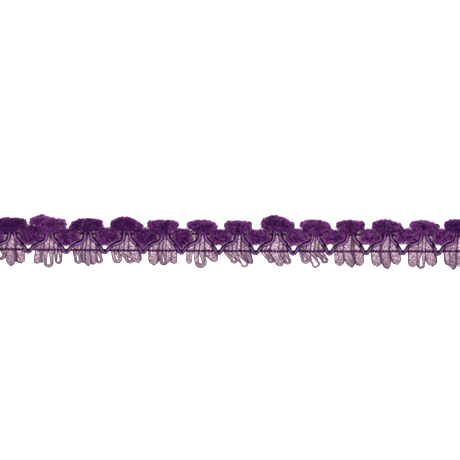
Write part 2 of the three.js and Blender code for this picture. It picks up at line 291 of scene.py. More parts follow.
# The loops of tape below the lower stitching: where each springs from it, where its turn hangs, how wide it
# is there, the share of that width that its hole takes (0 where it lies folded flat), how long its folded
# end is rounded, in widths, and how dark its tape looks (0 to 1)
LOOPS = table(
    "root_left root_right turn bottom width hole end dark",
    [
        (-119, -114, -116.2, -9.4, 5.6, 0.3, 0.5, 0.35),
        (-113.2, -108.9, -110.7, -12.1, 5.2, 0, 0.8, 0.35),
        (-108.8, -104.2, -106.3, -10.8, 4.4, 0, 0.25, 0.1),
        (-99.1, -96.2, -98, -11.1, 3.6, 0, 0.25, 0.05),
        (-96.5, -94.9, -95.6, -10.6, 1.4, 0, 0.25, 0.75),
        (-94.8, -89.6, -92.2, -13.1, 5.2, 0.3, 0.5, 0.1),
        (-89.5, -85.2, -87.2, -11.3, 4, 0.3, 0.5, 0.15),
        (-80.3, -76.6, -77.4, -11.2, 4.2, 0.25, 0.5, 0.15),
        (-76.2, -74.5, -75, -10.6, 1.5, 0, 0.5, 0.5),
        (-74.5, -71, -72.6, -12.1, 4, 0, 0.8, 0.2),
        (-72, -69, -70, -11.5, 2.6, 0, 0.5, 0.2),
        (-70.2, -66, -66.8, -11.1, 3.8, 0.25, 0.5, 0.15),
        (-61.2, -57.4, -57.9, -11, 5.2, 0.15, 0.5, 0.15),
        (-57.4, -52.4, -51.6, -11.1, 5.2, 0.2, 0.5, 0.35),
        (-52, -46.5, -46.9, -10.5, 5, 0, 0.5, 0.15),
        (-42, -37.5, -39.2, -11.7, 5, 0, 0.5, 0.1),
        (-37.5, -33.5, -34.6, -12, 4.6, 0.14, 0.5, 0.5),
        (-34, -30.5, -32, -10.4, 3, 0, 0.25, 0.1),
        (-31, -27.8, -29.5, -11.1, 3.2, 0, 0.25, 0.1),
        (-23.5, -20, -22, -11.1, 3.2, 0, 0.5, 0.1),
        (-19.8, -14.5, -16.2, -13.4, 6.4, 0.16, 0.5, 0.2),
        (-15, -9.5, -8.3, -9.8, 4.4, 0, 0.5, 0.2),
        (-4.8, -0.8, 0.6, -11.1, 4.4, 0.3, 0.5, 0.05),
        (-0.8, 3.6, 5.7, -13, 4.4, 0.5, 0.5, 0.1),
        (3.6, 5.8, 8, -10.4, 1.6, 0, 0.5, 0.1),
        (5.8, 9, 9.6, -11.1, 2.4, 0, 0.5, 0.75),
        (13.8, 18, 19, -11, 4, 0.22, 0.5, 0.15),
        (18, 22.6, 24.4, -12.2, 4.4, 0, 0.5, 0.2),
        (22.6, 27.4, 27.4, -11.6, 3.9, 0.25, 0.5, 0.2),
        (32.8, 36, 36.2, -11.2, 4.6, 0.18, 0.5, 0.15),
        (36, 40.6, 41.3, -13.2, 4.6, 0.5, 0.5, 0.1),
        (40.6, 45, 45.9, -11.1, 4, 0.3, 0.5, 0.25),
        (50.8, 55.4, 53.5, -12.1, 5, 0, 0.5, 0.1),
        (55, 59.4, 59.9, -12.8, 4.6, 0, 0.8, 0.3),
        (59.8, 64.6, 63.2, -12.1, 4.6, 0, 0.5, 0.1),
        (69.2, 73.4, 72.6, -12.3, 5, 0, 0.5, 0.1),
        (73.2, 77.4, 77.1, -13.6, 4.4, 0, 0.8, 0.4),
        (77.6, 82.8, 82, -11.4, 4.8, 0, 0.5, 0.1),
        (87.2, 92, 89.8, -12.8, 4.8, 0, 0.5, 0.15),
        (92, 96.2, 94, -13.8, 4.5, 0.33, 0.5, 0.15),
        (96.2, 101.4, 100.2, -12.2, 5.4, 0, 0.5, 0.1),
        (105, 109, 108.2, -12.1, 4.6, 0, 0.5, 0.15),
        (108.4, 112, 110.4, -14, 3.4, 0, 0.8, 0.5),
        (112, 116.5, 114, -12.6, 4.4, 0, 0.5, 0.1),
        (116.5, 119.5, 118.5, -11.1, 3, 0, 0.5, 0.2),
    ],
)


def set_camera():
    data = bpy.data.cameras.new("camera")
    data.sensor_width = SENSOR
    data.lens = SENSOR * CAMERA_HEIGHT / VIEW_WIDTH
    data.clip_end = 50
    camera = bpy.data.objects.new("camera", data)
    camera.location = (VIEW_CENTRE[0] * MM, VIEW_CENTRE[1] * MM, CAMERA_HEIGHT * MM)
    bpy.context.scene.collection.objects.link(camera)
    bpy.context.scene.camera = camera


def lerp(a, b, t):
    return a + (b - a) * t


def smoothstep(value, low, high):
    t = np.clip((value - low) / (high - low), 0, 1)
    return t * t * (3 - 2 * t)


def unit(vectors):
    return vectors / np.maximum(np.linalg.norm(vectors, axis=-1, keepdims=True), 1e-9)


def lower_line(x):
    """The y of the lower line of stitching, which falls to the right and bows a little"""
    s = 2 * x / LENGTH
    return LOWER_LINE - LOWER_LINE_FALL * s + LOWER_LINE_BOW * s * s


def upper_line(x):
    """The y of the upper line of stitching, which falls to the right"""
    return UPPER_LINE - UPPER_LINE_FALL * x / LENGTH


# Materials

def srgb(red, green, blue):
    """A colour by its 0 to 255 screen values, as linear numbers"""
    values = [v / 255 for v in (red, green, blue)]
    return [v / 12.92 if v <= 0.04045 else ((v + 0.055) / 1.055) ** 2.4 for v in values] + [1]


def new_material(name, roughness):
    material = bpy.data.materials.new(name)
    material.use_nodes = True
    shader = material.node_tree.nodes["Principled BSDF"]
    shader.inputs["Roughness"].default_value = roughness
    return material, shader


def add_node(material, kind, **values):
    node = material.node_tree.nodes.new(kind)
    for name, value in values.items():
        if name in node.inputs:
            node.inputs[name].default_value = value
        else:
            setattr(node, name, value)
    return node


def link(material, source, target):
    material.node_tree.links.new(source, target)


def ramp(material, source, stops):
    """A colour ramp fed by source, with stops of (place, colour)"""
    node = add_node(material, "ShaderNodeValToRGB")
    elements = node.color_ramp.elements
    for _ in stops[2:]:
        elements.new(0.5)
    for element, (place, colour) in zip(elements, stops):
        element.position = place
        element.color = colour
    link(material, source, node.inputs["Fac"])
    return node.outputs["Color"]


def mixed(material, factor, first, second, blend="MIX"):
    """Two colours mixed by a factor. Each is a socket or a constant."""
    node = material.node_tree.nodes.new("ShaderNodeMix")
    node.data_type = "RGBA"
    node.blend_type = blend
    for socket, value in ((node.inputs[0], factor), (node.inputs[6], first), (node.inputs[7], second)):
        if isinstance(value, bpy.types.NodeSocket):
            link(material, value, socket)
        else:
            socket.default_value = value
    return node.outputs[2]


def noise(material, vector, scale, detail=2.0):
    node = add_node(material, "ShaderNodeTexNoise", Scale=scale, Detail=detail)
    link(material, vector, node.inputs["Vector"])
    return node.outputs["Fac"]


def attribute(material, name):
    return add_node(material, "ShaderNodeAttribute", attribute_name=name).outputs["Fac"]


def object_place(material):
    return add_node(material, "ShaderNodeTexCoord").outputs["Object"]


def bumped(material, shader, height, strength, distance):
    node = add_node(material, "ShaderNodeBump", Strength=strength, Distance=distance)
    link(material, height, node.inputs["Height"])
    link(material, node.outputs["Normal"], shader.inputs["Normal"])


def pile_material():
    """Plush pile, with painted shade at the roots and a painted sheen, a lighter, redder violet, at the tips
    and on the flanks
    """
    material, shader = new_material("chenille_pile", 0.85)
    # The height attribute is a place on this ramp: painted shade, near black, at the roots and painted sheen
    # at the tips.
    ramped_colour = ramp(
        material,
        attribute(material, "height"),
        [
            (0.0, srgb(10, 1, 15)),
            (0.35, srgb(44, 8, 60)),
            (0.7, srgb(98, 35, 110)),
            (1.0, srgb(198, 118, 182)),
        ],
    )
    patches = ramp(
        material,
        noise(material, object_place(material), 300),
        [(0.35, (0.78, 0.72, 0.8, 1)), (0.65, (1, 1, 1, 1))],
    )
    link(material, mixed(material, 1.0, ramped_colour, patches, "MULTIPLY"), shader.inputs["Base Color"])
    shader.inputs["Specular IOR Level"].default_value = 0.08
    return material


def satin_material():
    """Satin wrap of the cord, with a painted highlight along its back and painted shade on the flank that
    faces the yarn
    """
    material, shader = new_material("satin_wrap", 0.36)
    normal = add_node(material, "ShaderNodeTexCoord").outputs["Normal"]
    facing = add_node(material, "ShaderNodeVectorMath", operation="DOT_PRODUCT")
    link(material, normal, facing.inputs[0])
    facing.inputs[1].default_value = (0, -0.36, 0.93)
    # The ramp paints light by which way the surface faces: painted shade on the flank, painted highlight on
    # the back.
    ramped_colour = ramp(
        material,
        facing.outputs["Value"],
        [(0.64, srgb(5, 0, 6)), (0.9, srgb(66, 26, 76)), (0.99, srgb(119, 59, 130))],
    )
    patches = ramp(
        material,
        noise(material, object_place(material), 900),
        [(0.3, (0.8, 0.78, 0.8, 1)), (0.7, (1, 1, 1, 1))],
    )
    wrapped = mixed(material, 1.0, ramped_colour, patches, "MULTIPLY")
    # The dark attribute adds painted shade low in each bend of the cord.
    shaded = mixed(material, attribute(material, "dark"), wrapped, srgb(24, 2, 28))
    link(material, shaded, shader.inputs["Base Color"])
    shader.inputs["Specular IOR Level"].default_value = 0.12
    return material


def map_range(material, source, from_min, from_max, to_min, to_max):
    limits = {"From Min": from_min, "From Max": from_max, "To Min": to_min, "To Max": to_max}
    node = add_node(material, "ShaderNodeMapRange", **limits)
    link(material, source, node.inputs["Value"])
    return node.outputs["Result"]


def tape_material():
    """Sheer woven tape: a mottled open weave between two darker edges, partly the closer weave at its edges
    and partly painted shadow where legs overlap
    """
    material, shader = new_material("sheer_tape", 0.55)
    weave = add_node(material, "ShaderNodeTexCoord").outputs["UV"]
    mottle = noise(material, object_place(material), 1500, 3.0)
    cloth = ramp(
        material,
        mottle,
        [(0.37, srgb(54, 28, 46)), (0.5, srgb(132, 98, 118)), (0.63, srgb(207, 175, 191))],
    )
    # The dark border is partly the tape's closer-woven edge and partly painted shadow between the legs.
    border = map_range(
        material, attribute(material, "inset"), BORDER_WIDTH - BORDER_BLUR, BORDER_WIDTH, 0.9, 0
    )
    in_shade = mixed(material, 1.0, cloth, (0.3, 0.17, 0.32, 1), "MULTIPLY")
    shaded = mixed(material, attribute(material, "dark"), cloth, in_shade)
    bordered = mixed(material, border, shaded, srgb(54, 22, 54))
    link(material, bordered, shader.inputs["Base Color"])
    checks = add_node(material, "ShaderNodeTexChecker", Scale=1.0)
    link(material, weave, checks.inputs["Vector"])
    bumped(material, shader, checks.outputs["Fac"], 0.4, 0.00005)
    cover = add_node(material, "ShaderNodeMath", operation="MAXIMUM")
    link(material, map_range(material, mottle, 0.3, 0.7, 0.97, 0.76), cover.inputs[0])
    link(material, border, cover.inputs[1])
    link(material, cover.outputs[0], shader.inputs["Alpha"])
    return material


def thread_material(name, low, high):
    material, shader = new_material(name, 0.6)
    ramped_colour = ramp(material, noise(material, object_place(material), 2500), [(0.35, low), (0.65, high)])
    link(material, ramped_colour, shader.inputs["Base Color"])
    shader.inputs["Specular IOR Level"].default_value = 0.1
    return material


# Mesh making

def new_piece(name, points, faces, material, node, facts=None, uv=None):
    """A mesh of triangles, in millimetres, as a piece of the object. facts holds values for its points."""
    points = np.asarray(points, float) * MM
    faces = np.asarray(faces, np.int32)
    mesh = bpy.data.meshes.new(name)
    mesh.vertices.add(len(points))
    mesh.vertices.foreach_set("co", points.astype(np.float32).ravel())
    mesh.loops.add(faces.size)
    mesh.loops.foreach_set("vertex_index", faces.ravel())
    mesh.polygons.add(len(faces))
    mesh.polygons.foreach_set("loop_start", np.arange(0, faces.size, 3, dtype=np.int32))
    mesh.polygons.foreach_set("use_smooth", np.full(len(faces), True))
    mesh.update(calc_edges=True)
    for fact, values in (facts or {}).items():
        layer = mesh.attributes.new(fact, "FLOAT", "POINT")
        layer.data.foreach_set("value", np.asarray(values, np.float32))
    if uv is not None:
        layer = mesh.uv_layers.new(name="weave")
        layer.data.foreach_set("uv", np.asarray(uv, np.float32)[faces.ravel()].ravel())
    mesh.validate()
    mesh.materials.append(material)
    piece = bpy.data.objects.new(name, mesh)
    bpy.context.scene.collection.objects.link(piece)
    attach(piece, "root")
    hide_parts(node)


def ring_faces(rings, sides):
    """The quads of an open tube of rings"""
    i, j = np.meshgrid(np.arange(rings - 1), np.arange(sides), indexing="ij")
    a = (i * sides + j).ravel()
    b = (i * sides + (j + 1) % sides).ravel()
    return np.stack([a, b, b + sides, a + sides], axis=1)


def end_faces(start, sides, flip):
    """The triangles of a flat end whose ring starts at that point number"""
    fan = np.array([[start, start + j + 1, start + j] for j in range(1, sides - 1)])
    return fan[:, ::-1] if flip else fan


def triangles(quads):
    return np.concatenate([quads[:, [0, 1, 2]], quads[:, [0, 2, 3]]])


def closed_faces(rings, sides):
    """The triangles of a tube of rings with two flat ends"""
    walls = triangles(ring_faces(rings, sides))
    return np.concatenate([walls, end_faces(0, sides, False), end_faces((rings - 1) * sides, sides, True)])


def distances(path):
    """How far along a path each of its points is"""
    return np.concatenate([[0], np.cumsum(np.linalg.norm(np.diff(path, axis=0), axis=1))])


def tube(path, radius_at, sides):
    """A closed tube along a path. radius_at gives its radius at a distance along it and an angle round it."""
    path = np.asarray(path, float)
    tangent = unit(np.gradient(path, axis=0))
    across = unit(np.cross(tangent, (0, 0, 1)))
    over = np.cross(across, tangent)
    angles = 2 * np.pi * np.arange(sides) / sides
    radius = radius_at(distances(path)[:, None], angles[None, :])[..., None]
    ring = across[:, None] * np.cos(angles)[None, :, None] + over[:, None] * np.sin(angles)[None, :, None]
    return (path[:, None] + radius * ring).reshape(-1, 3), closed_faces(len(path), sides)


def evenly(path, step):
    """A path's points again, that far apart"""
    along = distances(path)
    places = np.linspace(0, along[-1], int(along[-1] / step) + 1)
    return np.stack([np.interp(places, along, path[:, k]) for k in range(path.shape[1])], axis=1)


def rounded(points, steps):
    """A smooth curve through points, with that many steps between two of them"""
    points = np.asarray(points, float)
    padded = np.concatenate([2 * points[:1] - points[1:2], points, 2 * points[-1:] - points[-2:-1]])
    a, b, c, d = (padded[k : k + len(points) - 1] for k in range(4))
    t = (np.arange(steps) / steps)[None, :, None]
    a, b, c, d = (p[:, None] for p in (a, b, c, d))
    curve = 0.5 * (2 * b + (c - a) * t + (2 * a - 5 * b + 4 * c - d) * t**2 + (3 * b - a - 3 * c + d) * t**3)
    return np.concatenate([curve.reshape(-1, points.shape[1]), points[-1:]])


def joined(parts):
    """Several (points, faces, ...) as one. What follows the faces is one value a point."""
    shift = np.cumsum([0] + [len(part[0]) for part in parts[:-1]])
    faces = np.concatenate([part[1] + s for part, s in zip(parts, shift)])
    return (np.concatenate([part[0] for part in parts]), faces) + tuple(
        np.concatenate(values) for values in zip(*(part[2:] for part in parts))
    )


# Cord

def arc(x, y, radius, start, end, steps):
    angles = np.radians(np.linspace(start, end, steps + 1))
    return [(x + radius * math.cos(a), y + radius * math.sin(a)) for a in angles]


def cord_legs(k):
    """The two sides of the zigzag at one bend"""
    x, y = BENDS[k]
    start = NECKS[k] + NECK_RADIUS
    end = NECKS[k + 1] - NECK_RADIUS
    fall = STRAND_TOP - y
    down = [(lerp(start, x, across), STRAND_TOP - fall * share) for across, share in DESCENT]
    up = [(lerp(x, end, across), STRAND_TOP - fall * share) for across, share in ASCENT]
    return down, up


def cord_level(places):
    """The cord rises over each line of stitching, and lies lower between them."""
    inside = np.minimum(places[:, 1] - lower_line(places[:, 0]), upper_line(places[:, 0]) - places[:, 1])
    return lerp(CORD_HIGH, CORD_LOW, smoothstep(inside, *CORD_RAMP))


def cord_path():
    """The cord's centre line from one cut end to the other"""
    places = []
    for k, (x, y) in enumerate(BENDS):
        down, up = cord_legs(k)
        places += down
        places += arc(x, y + BEND_RADIUS, BEND_RADIUS, *BEND_ANGLES, BEND_STEPS)
        places += up
        places += arc(NECKS[k + 1], STRAND_TOP, NECK_RADIUS, 180, 0, NECK_STEPS)[1:-1]
    flat = evenly(rounded(places, CURVE_STEPS), CORD_STEP)
    evening = np.ones(CORD_SMOOTHING) / CORD_SMOOTHING
    flat = np.column_stack([np.convolve(flat[:, k], evening, "valid") for k in range(2)])
    flat = flat[np.abs(flat[:, 0]) < END]
    return np.column_stack([flat, cord_level(flat)])


def cord_edge(x):
    """The y of the cord's centre line at an x, along the two sides of the bend there"""
    places = sorted(p for k in range(len(BENDS)) for leg in (*cord_legs(k), [BENDS[k]]) for p in leg)
    return np.interp(x, *zip(*places))


def make_cord(material):
    path = cord_path()

    def radius(along, angle):
        return CORD_RADIUS * (1 + WRAP_DEPTH * (np.cos(2 * np.pi * along / WRAP_PITCH + angle) - 1))

    points, faces = tube(path, radius, CORD_SIDES)
    # The cord is painted darker low in each bend, as painted shade.
    bends = np.array(BENDS)
    apart = np.abs(points[:, :1] - bends[None, :, 0]).min(axis=1)
    depth = smoothstep(-points[:, 1], *BEND_SHADE_DEPTH)
    dark = BEND_SHADE * depth * (1 - smoothstep(apart, *BEND_SHADE_WIDTH))
    new_piece("gimp_cord_wrapped", points, faces, material, "gimp_cord", {"dark": dark})
    return path


# Stitching

def strand_radius(along, angle):
    return STRAND_RADIUS + STRAND_SWELL * np.cos(2 * np.pi * along / STITCH_LENGTH) + 0 * angle


def make_stitches(name, node, line, material):
    """Two strands that cross at each stitch and open into a small bead between crossings"""
    x = np.arange(-END, END, STITCH_STEP)
    turn = np.pi * x / STITCH_LENGTH
    strands = []
    for phase in (0, np.pi):
        y = line(x) + STITCH_SHIFT + STRAND_SPREAD * np.cos(turn + phase)
        z = THREAD_LEVEL + STRAND_LIFT * np.sin(turn + phase)
        strands.append(tube(np.column_stack([x, y, z]), strand_radius, STRAND_SIDES))
    points, faces = joined(strands)
    new_piece(name, points, faces, material, node)


def tie_radius(along, angle):
    return TIE_RADIUS * np.sqrt(np.maximum(1 - (along / TIE_REACH - 1) ** 2, 0.04)) + 0 * angle


def make_ties(material):
    """A tie of thread in the crook of each bend, which holds the cord down"""
    ties = []
    for x, y in BENDS:
        places = np.linspace(x - TIE_REACH, x + TIE_REACH, TIE_POINTS)
        path = [(place, y + TIE_RISE, TIE_LEVEL) for place in places]
        ties.append(tube(path, tie_radius, TIE_SIDES))
    points, faces = joined(ties)
    new_piece("cord_ties", points, faces, material, "lower_stitch_thread")


# Tape

def tape_strip(path, wide, width, dark, unbordered=0.0):
    """A thin closed strip of tape. wide is its direction across at each point of the path. Each point keeps
    its distance from the nearer edge, to which unbordered is added where the dark border isn't to show."""
    path = np.asarray(path, float)
    tangent = unit(np.gradient(path, axis=0))
    wide = unit(wide - tangent * np.sum(wide * tangent, axis=1, keepdims=True))
    face = np.cross(tangent, wide)
    along = distances(path)
    width = np.broadcast_to(width, len(path)).astype(float)
    share = np.linspace(-1, 1, TAPE_COLUMNS)
    side = np.tile(np.concatenate([share, share[::-1]]), (len(path), 1))
    level = np.repeat((0.5, -0.5), TAPE_COLUMNS)
    phase = CRINKLE_ALONG * along[:, None] + CRINKLE_ACROSS * side + CRINKLE_START * path[0, 0]
    crinkle = CRINKLE * np.sin(phase)
    points = (
        path[:, None]
        + wide[:, None] * (side * width[:, None] / 2)[..., None]
        + face[:, None] * (crinkle + level * TAPE_THICKNESS)[..., None]
    )
    points[..., 2] = np.maximum(points[..., 2], (level + 0.5) * TAPE_THICKNESS + FLOOR_GAP)
    inset = ((1 - np.abs(side)) * width[:, None] / 2 + unbordered).ravel()
    darkness = np.broadcast_to(dark, side.shape).ravel()
    across = side * width[:, None] / 2
    weave = np.stack([across, np.broadcast_to(along[:, None], across.shape)], axis=-1)
    uv = weave.reshape(-1, 2) * WEAVE_CHECKS
    return points.reshape(-1, 3), closed_faces(*side.shape), inset, darkness, uv


def fan_place(neck, x, t):
    """Where a leg that reaches the hem at x is, at a share t of the way down its fan"""
    share = (x - (neck - FAN_LEFT)) / (FAN_LEFT + FAN_RIGHT)
    left = neck - lerp(FAN_NECK, FAN_LEFT, t * t)
    right = neck + lerp(FAN_NECK, FAN_RIGHT, t * t)
    return lerp(left, right, share)


def fan_width(t):
    """How wide a leg is at a share t of the way down its fan, as a share of its width at the hem"""
    return lerp(*FAN_WIDTHS, t * t)


def open_loop(neck, row, level):
    """Tape down a leg of its fan, on its edge around its turn, and up the next leg"""
    middle = (row["root_left"] + row["root_right"]) / 2
    hem = lower_line(middle) - LOOP_ROOT
    leg = (row["root_right"] - row["root_left"]) / 2
    band = row["width"] * (1 - row["hole"]) / 2
    turn_width = max(TAPE_WIDTH, band)
    tilt = math.acos(band / turn_width)
    radius = (row["width"] - band) / 2
    centre = row["bottom"] + row["width"] / 2
    lift = 0.5 * turn_width * math.sin(tilt) + LOOP_GAP
    down = np.linspace(0, 1, LEG_POINTS)
    legs = []
    for k, root in enumerate((middle - leg / 2, middle + leg / 2)):
        end = row["turn"] + (radius if k else -radius)
        start = level + TAPE_THICKNESS * k
        legs.append(
            [(fan_place(neck, root, t), lerp(FAN_TOP, hem, t), start) for t in down]
            + [(lerp(root, end, t), lerp(hem, centre, t), lerp(start, lift, t)) for t in TURN_PLACES]
        )
    bend = [(x, y, lift) for x, y in arc(row["turn"], centre, radius, 180, 360, TURN_STEPS)]
    path = np.array(legs[0] + bend + legs[1][::-1])
    flat_leg = [0.0] * LEG_POINTS
    on_edge = [1.0] * len(bend)
    side = np.array(flat_leg + TURN_SIDES + on_edge + TURN_SIDES[::-1] + flat_leg)
    spread = fan_width(np.concatenate([down, np.ones(len(path) - 2 * LEG_POINTS), down[::-1]]))
    facts = np.column_stack([path, lerp(LEG_LEAN, tilt, side), lerp(leg * spread, turn_width, side), side])
    facts = rounded(facts, LOOP_STEPS)
    path, lean, width, side = facts[:, :3], facts[:, 3], facts[:, 4], facts[:, 5]
    flat = unit(np.cross((0, 0, 1), unit(np.gradient(path, axis=0))))
    wide = flat * np.cos(lean)[:, None] + np.array((0, 0, 1.0)) * np.sin(lean)[:, None]
    dark = row["dark"] + LOOSE_SHADE * np.clip(side, 0, 1)[:, None]
    return tape_strip(path, wide, width, dark)


def folded_loop(neck, row, level):
    """Tape down its fan, folded flat at its end and back up over itself, as one leaf of two layers"""
    root = (row["root_left"] + row["root_right"]) / 2
    root_width = row["root_right"] - row["root_left"]
    hem = lower_line(root) - LOOP_ROOT
    down = np.linspace(0, 1, LEG_POINTS)
    fall = np.sin(np.linspace(LEAF_START, 1, LEAF_POINTS) * np.pi / 2)
    fan = [(fan_place(neck, root, t), lerp(FAN_TOP, hem, t)) for t in down]
    leaf = [(lerp(root, row["turn"], t), lerp(hem, row["bottom"], t)) for t in fall]
    line = np.array(fan + leaf)
    reach = row["end"] * row["width"]
    tip = np.clip(1 - (1 - fall) * (hem - row["bottom"]) / reach, 0, LEAF_BLUNT)
    rounding = np.sqrt(1 - tip**2)
    swelling = lerp(root_width, row["width"], smoothstep(fall, 0, LEAF_SWELL))
    width = np.concatenate([root_width * fan_width(down), swelling * rounding])
    heading = unit(np.gradient(line, axis=0))
    wide = np.column_stack([-heading[:, 1], heading[:, 0], np.full(len(line), LEAF_TILT)])
    under = np.column_stack([line, np.full(len(line), level)])
    # The upper layer lies a little to one side of the lower, and not alike in any two loops.
    slip = LAYER_SLIP * math.sin(5 * row["turn"])
    over = np.column_stack([line + (slip, LAYER_SHIFT), np.full(len(line), level + LAYER_GAP)])[::-1]
    turn = np.append(line[-1] + FOLD_REACH * heading[-1], level + LAYER_GAP / 2)
    path = np.concatenate([under, [turn], over])
    wide = np.concatenate([wide, wide[-1:], wide[::-1]])
    width = np.concatenate([width, FOLD_WIDTH * width[-1:], width[::-1]])
    share = np.concatenate([np.zeros(LEG_POINTS), fall])
    dark = row["dark"] + LOOSE_SHADE * np.concatenate([share, [1], share[::-1]])[:, None] ** 0.5
    return tape_strip(path, wide, np.maximum(width, LEAF_NARROWEST), dark)


def under_leg(neck, leg):
    """A leg of a fan that lies under the others and ends in the stitching"""
    spread = FAN_LEFT + FAN_RIGHT
    root = neck - FAN_LEFT + spread * (leg + 0.5) / UNDER_LEGS
    down = np.linspace(0, 1, UNDER_LEG_POINTS)
    y = lerp(FAN_TOP, lower_line(neck) - LOOP_ROOT, down)
    x = fan_place(neck, root, down)
    path = np.column_stack([x, y, np.full(len(x), UNDER_LEVEL)])
    width = fan_width(down) * spread / UNDER_LEGS
    wide = np.tile((1.0, 0.0, 0.0), (len(x), 1))
    return tape_strip(path, wide, width, UNDER_SHADES[leg % 2], NO_BORDER)


def new_tape(name, strips, material):
    points, faces, inset, dark, uv = joined(strips)
    facts = {"inset": inset, "dark": dark}
    new_piece(name, points, faces, material, "ribbon_tape", facts, uv)


def fan_loops(neck):
    """The rows of the loops that hang from the fan at a neck"""
    first, last = FAN_REACH
    return [row for row in LOOPS if first < (row["root_left"] + row["root_right"]) / 2 - neck < last]


def make_tape(material):
    for k, neck in enumerate(NECKS[1:-1]):
        strips = []
        for order, row in enumerate(fan_loops(neck)):
            loop = open_loop if row["hole"] else folded_loop
            strips.append(loop(neck, row, LEG_LEVEL + LEG_GAP * (order % 2)))
        strips += [under_leg(neck, leg) for leg in range(UNDER_LEGS)]
        new_tape(f"tape_motif_{k + 1:02d}", strips, material)


def make_passing_tape(material):
    """The tape runs on from one fan to the next under the yarn."""
    strips = []
    for start, end in zip(NECKS, NECKS[1:]):
        x = np.linspace(max(start, -END), min(end, END), PASSING_POINTS)
        y = PASSING_MIDDLE + PASSING_SWAY * np.sin(x)
        path = np.column_stack([x, y, np.full(len(x), PASSING_LEVEL)])
        wide = np.tile((0.0, 1.0, 0.0), (len(x), 1))
        strips.append(tape_strip(path, wide, TAPE_WIDTH, PASSING_SHADE))
    new_tape("tape_passes", strips, material)


# Chenille

def squared(value):
    """A sine or cosine that gives a ring its slightly square form"""
    return np.sign(value) * np.abs(value) ** SQUARED


def swell(share, roundness):
    """How far a rounded outline stands out at a share of the way from its middle to its end"""
    return (1 - np.abs(BLUNT_END * share) ** roundness) ** (1 / roundness)


def outline(share, places, heights):
    """The smooth line through heights at places along a tuft, read at a share of its length"""
    line = rounded(np.column_stack([places, heights]), 6)
    return np.interp(share, line[:, 0], line[:, 1])


def tuft_stations():
    """Shares along a tuft from -1 to 1, and how far the rings close at its two ends"""
    share = np.sin(np.linspace(-np.pi / 2, np.pi / 2, TUFT_RINGS))
    closing = np.array(TUFT_END_RINGS)
    share = np.concatenate([np.full(len(closing), -1.0), share, np.full(len(closing), 1.0)])
    shrink = np.concatenate([closing, np.ones(TUFT_RINGS), closing[::-1]])
    return share[:, None], shrink[:, None]


def tuft_angles():
    """How far out in y, and how far up, each corner of a ring is, with the rings a little squared"""
    angle = 2 * np.pi * np.arange(TUFT_CORNERS)[None, :] / TUFT_CORNERS
    return squared(np.cos(angle)), squared(np.sin(angle))


def tuft_surface(row, y, height, crown, share, shrink, rise):
    """The grid of a tuft's surface points, pressed a little flat where it rests"""
    middle = (row["left"] + row["right"]) / 2
    half = (row["right"] - row["left"]) / 2
    bulge = END_BULGE * np.sqrt(1 - shrink**2) * np.sign(share)
    x = np.broadcast_to(middle + half * share + bulge, y.shape)
    z = (height / 2 + PRESSED) * (1 + crown * shrink * rise) - 2 * PRESSED
    return np.stack([np.clip(x, -END, END), y, z], axis=-1)


def upper_tuft(row):
    share, shrink = tuft_stations()
    out, rise = tuft_angles()
    top = outline(share, TOP_PLACES, [row[f"top_{k}"] for k in range(1, 6)])
    bottom = outline(share, BOTTOM_PLACES, [row[f"bottom_{k}"] for k in range(1, 4)])
    crown = swell(share, np.where(share < 0, row["left_end"], row["right_end"]))
    belly = swell(share, BELLY_ROUNDNESS)
    y = (top + bottom) / 2 + (top - bottom) / 2 * np.where(out > 0, crown, belly) * out * shrink
    return tuft_surface(row, y, UPPER_HEIGHT, crown, share, shrink, rise)


def lower_tuft(row):
    share, shrink = tuft_stations()
    out, rise = tuft_angles()
    crown = swell(share, LOWER_ROUNDNESS)
    belly = swell(share, row["roundness"] + FULLER)
    y = lerp(row["bottom"], row["top"], 0.5 + 0.5 * np.where(out > 0, crown, belly) * out * shrink)
    surface = tuft_surface(row, y, LOWER_HEIGHT, crown, share, shrink, rise)
    surface[..., 2] *= 1 - LOWER_SLOPE * smoothstep(y, *LOWER_SLOPE_EDGES)
    surface[..., 1] = np.maximum(y, cord_edge(surface[..., 0]) + CORD_RADIUS)
    return surface


def point_normals(points, faces):
    corners = points[faces]
    normal = np.cross(corners[:, 1] - corners[:, 0], corners[:, 2] - corners[:, 0])
    total = np.zeros_like(points)
    for k in range(3):
        np.add.at(total, faces[:, k], normal)
    return unit(total)


def make_wander(rng, wavelength):
    """A smooth random field of vectors, by summed waves"""
    headings = unit(rng.normal(size=(WANDER_WAVES, 3)))
    waves = headings * 2 * np.pi / (wavelength * rng.uniform(*WANDER_RANGE, (WANDER_WAVES, 1)))
    phases = rng.uniform(0, 2 * np.pi, (WANDER_WAVES, 3))

    def wander(points):
        turns = points @ waves.T
        return np.stack([np.sin(turns + phases[:, k]).sum(axis=1) / 3 for k in range(3)], axis=1)

    return wander


def clear_of_cord(points, cord, lower):
    """The yarn's points, kept above the tape and the floor. An upper tuft passes over the cord, and a lower
    one stops beside it."""
    points = points.copy()
    near = cord[np.abs(cord[:, 0] - points[:, 0].mean()) < CORD_SEARCH][::CORD_SKIP]
    away = points[:, None, :2] - near[None, :, :2]
    apart = np.linalg.norm(away, axis=2)
    closest = apart.argmin(axis=1)
    every = np.arange(len(points))
    away, apart = away[every, closest], apart[every, closest]
    bed = np.where((points[:, 1] < YARN_BED_EDGE) | lower, YARN_BED, CORE_GAP)
    if lower:
        push = np.maximum(CORD_RADIUS + CORD_GAP - apart, 0)
        points[:, :2] += away / apart[:, None] * push[:, None]
    else:
        bed = np.where(apart < CORD_RADIUS + CORD_ROOM_EDGE, CORD_ROOM, bed)
    points[:, 2] = np.maximum(points[:, 2], bed)
    return points


def tuft_shell(grid, rng):
    """A tuft's surface with soft bumps, as points, faces and the direction out of each point"""
    points = grid.reshape(-1, 3)
    faces = triangles(ring_faces(*grid.shape[:2]))
    normals = point_normals(points, faces)
    if np.sum((points - points.mean(axis=0)) * normals) < 0:
        faces = faces[:, ::-1]
        normals = -normals
    bumps = make_wander(rng, BUMP_WIDTH)
    points = points + BUMP_HEIGHT * bumps(points)[:, :1] * normals
    points[:, 2] = np.maximum(points[:, 2], CORE_GAP)
    return points, faces, normals


